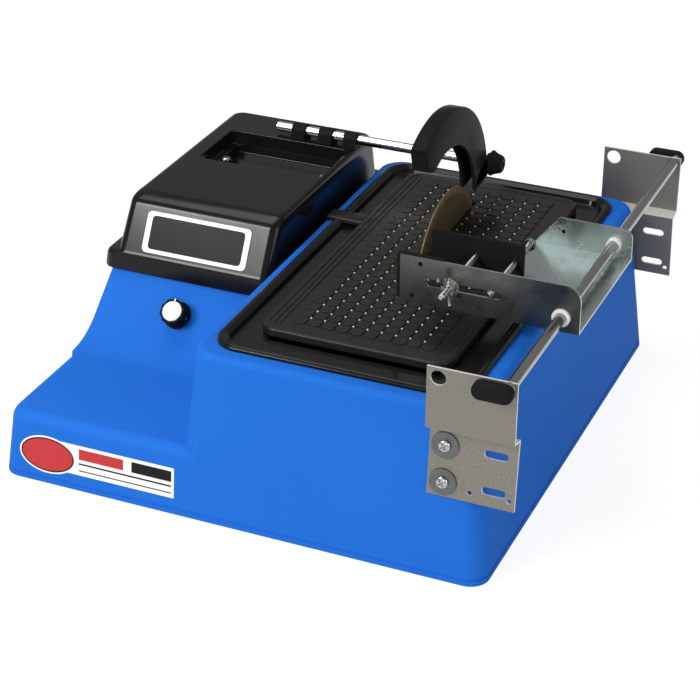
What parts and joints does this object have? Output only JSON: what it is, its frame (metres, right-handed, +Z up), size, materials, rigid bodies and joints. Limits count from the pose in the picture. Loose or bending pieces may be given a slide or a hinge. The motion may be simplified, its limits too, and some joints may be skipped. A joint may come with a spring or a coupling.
{
  "type": "lapidary trim saw",
  "caption": "Bench wet diamond-blade trim saw: blue moulded body, black motor cover, water tray with grid table, curved blade guard and a swinging vise on a side guide rod.",
  "frame": {"origin": "centre of the moulded body's footprint, on the surface that it stands on", "axes": "+Z up, +X along the front towards the vise, +Y to the rear"},
  "size_m": [0.4785, 0.4956, 0.2827],
  "materials": {
    "blue_body": "satin moulded plastic, royal blue",
    "black_gloss": "glossy formed sheet, black",
    "black_matte": "moulded, black",
    "white_nylon": "nylon, white",
    "base_sheet": "sheet, dark grey",
    "stainless": "satin stainless sheet",
    "zinc_sheet": "zinc-plated sheet",
    "rod_chrome": "polished round bar",
    "hardware": "zinc-plated fasteners",
    "blade_steel": "brownish steel core",
    "blade_rim": "diamond-set rim, rough",
    "motor_paint": "painted motor can",
    "frame_paint": "painted steel frame",
    "aluminium": "turned aluminium",
    "circuit": "circuit board, green",
    "plate_black": "printed plate, black with a white border",
    "decal_white": "printed sticker"
  },
  "bodies": {
    "base": {"housing_shell": "blue_body", "base_plate": "base_sheet", "base_screws": "hardware", "motor_cover": "black_gloss", "cover_screws": "hardware", "name_plate": "plate_black", "side_decal": "decal_white", "drive_frame": "frame_paint", "drive_frame_screws": "hardware", "motor_body": "motor_paint", "motor_screws": "hardware", "speed_controller": "circuit", "speed_pot": "black_matte", "cord_gland": "black_matte", "water_tray": "black_gloss", "work_table": "black_gloss", "arbor_housing": "aluminium", "arbor_screws": "hardware", "arbor_bearings": "rod_chrome", "shaft_seal": "black_matte", "front_bracket": "stainless", "rear_bracket": "stainless", "bracket_washers": "hardware", "bracket_screws": "hardware", "bracket_nuts": "hardware", "guide_rod": "rod_chrome", "rod_end_nuts": "hardware", "guard_rod": "rod_chrome", "guard_rod_clips": "black_matte"},
    "rotor": {"motor_shaft": "hardware", "shaft_coupling": "aluminium", "arbor_shaft": "rod_chrome", "blade_flanges": "hardware", "arbor_nut": "hardware", "blade_core": "blade_steel", "blade_rim": "blade_rim"},
    "vise_runner": {"vise_bushings": "white_nylon"},
    "vise_frame": {"vise_carriage": "zinc_sheet", "jaw_pad": "black_matte"},
    "jaw_block": {"wing_nut_washer": "hardware"},
    "wing": {"wing_nut": "hardware"},
    "jaw": {"moving_jaw": "black_matte", "clamp_screw": "hardware", "clamp_screw_nut": "hardware"},
    "jack": {"jack_screw": "hardware", "jack_nut": "hardware"},
    "guard": {"blade_guard": "black_matte"},
    "guard_clamp": {"guard_knob": "black_matte"},
    "speed_control": {"speed_knob": "black_matte", "speed_knob_cap": "decal_white"},
    "front_clamp": {"front_lever": "black_matte"},
    "rear_clamp": {"rear_lever": "black_matte"}
  },
  "joints": [
    {"name": "blade_spin", "type": "hinge", "parent": "base", "child": "rotor", "pos_m": [0.074, 0.068, 0.122], "axis": [1, 0, 0], "continuous": true},
    {"name": "vise_slide", "type": "slide", "parent": "base", "child": "vise_runner", "axis": [0, 1, 0], "range_m": [-0.118, 0.172]},
    {"name": "vise_swing", "type": "hinge", "parent": "vise_runner", "child": "vise_frame", "pos_m": [0.239, 0, 0.1915], "axis": [0, 1, 0], "range_deg": [-7.5, 75]},
    {"name": "jaw_cross", "type": "slide", "parent": "vise_frame", "child": "jaw_block", "axis": [1, 0, 0], "range_m": [-0.017, 0.04]},
    {"name": "wing_nut_turn", "type": "hinge", "parent": "jaw_block", "child": "wing", "pos_m": [0.143, -0.113, 0.199], "axis": [0, -1, 0], "range_deg": [-15367, 4028]},
    {"name": "jaw_close", "type": "slide", "parent": "jaw_block", "child": "jaw", "axis": [0, 1, 0], "range_m": [-0.054, 0.014]},
    {"name": "jack_screw_turn", "type": "hinge", "parent": "jaw_block", "child": "jack", "pos_m": [0.177, -0.055, 0.199], "axis": [0, -1, 0], "range_deg": [-15367, 4028]},
    {"name": "guard_swing", "type": "hinge", "parent": "base", "child": "guard", "pos_m": [0.074, 0.162, 0.191], "axis": [-1, 0, 0], "range_deg": [-27, 70]},
    {"name": "guard_knob_turn", "type": "hinge", "parent": "base", "child": "guard_clamp", "pos_m": [0.088, 0.162, 0.191], "axis": [1, 0, 0], "range_deg": [0, 360]},
    {"name": "speed_knob_turn", "type": "hinge", "parent": "base", "child": "speed_control", "pos_m": [-0.1325, -0.06509, 0.093], "axis": [0, -0.7431, 0.6691], "range_deg": [-150, 150]},
    {"name": "front_lever_turn", "type": "hinge", "parent": "base", "child": "front_clamp", "pos_m": [0.239, -0.242, 0.1915], "axis": [0, -1, 0], "range_deg": [0, 360]},
    {"name": "rear_lever_turn", "type": "hinge", "parent": "base", "child": "rear_clamp", "pos_m": [0.239, 0.242, 0.1915], "axis": [0, 1, 0], "range_deg": [0, 360]}
  ],
  "couplings": [
    {"joint": "wing_nut_turn", "follows": "jaw_close", "rad_per_m": 4947.4},
    {"joint": "jack_screw_turn", "follows": "jaw_close", "rad_per_m": 4947.4}
  ]
}
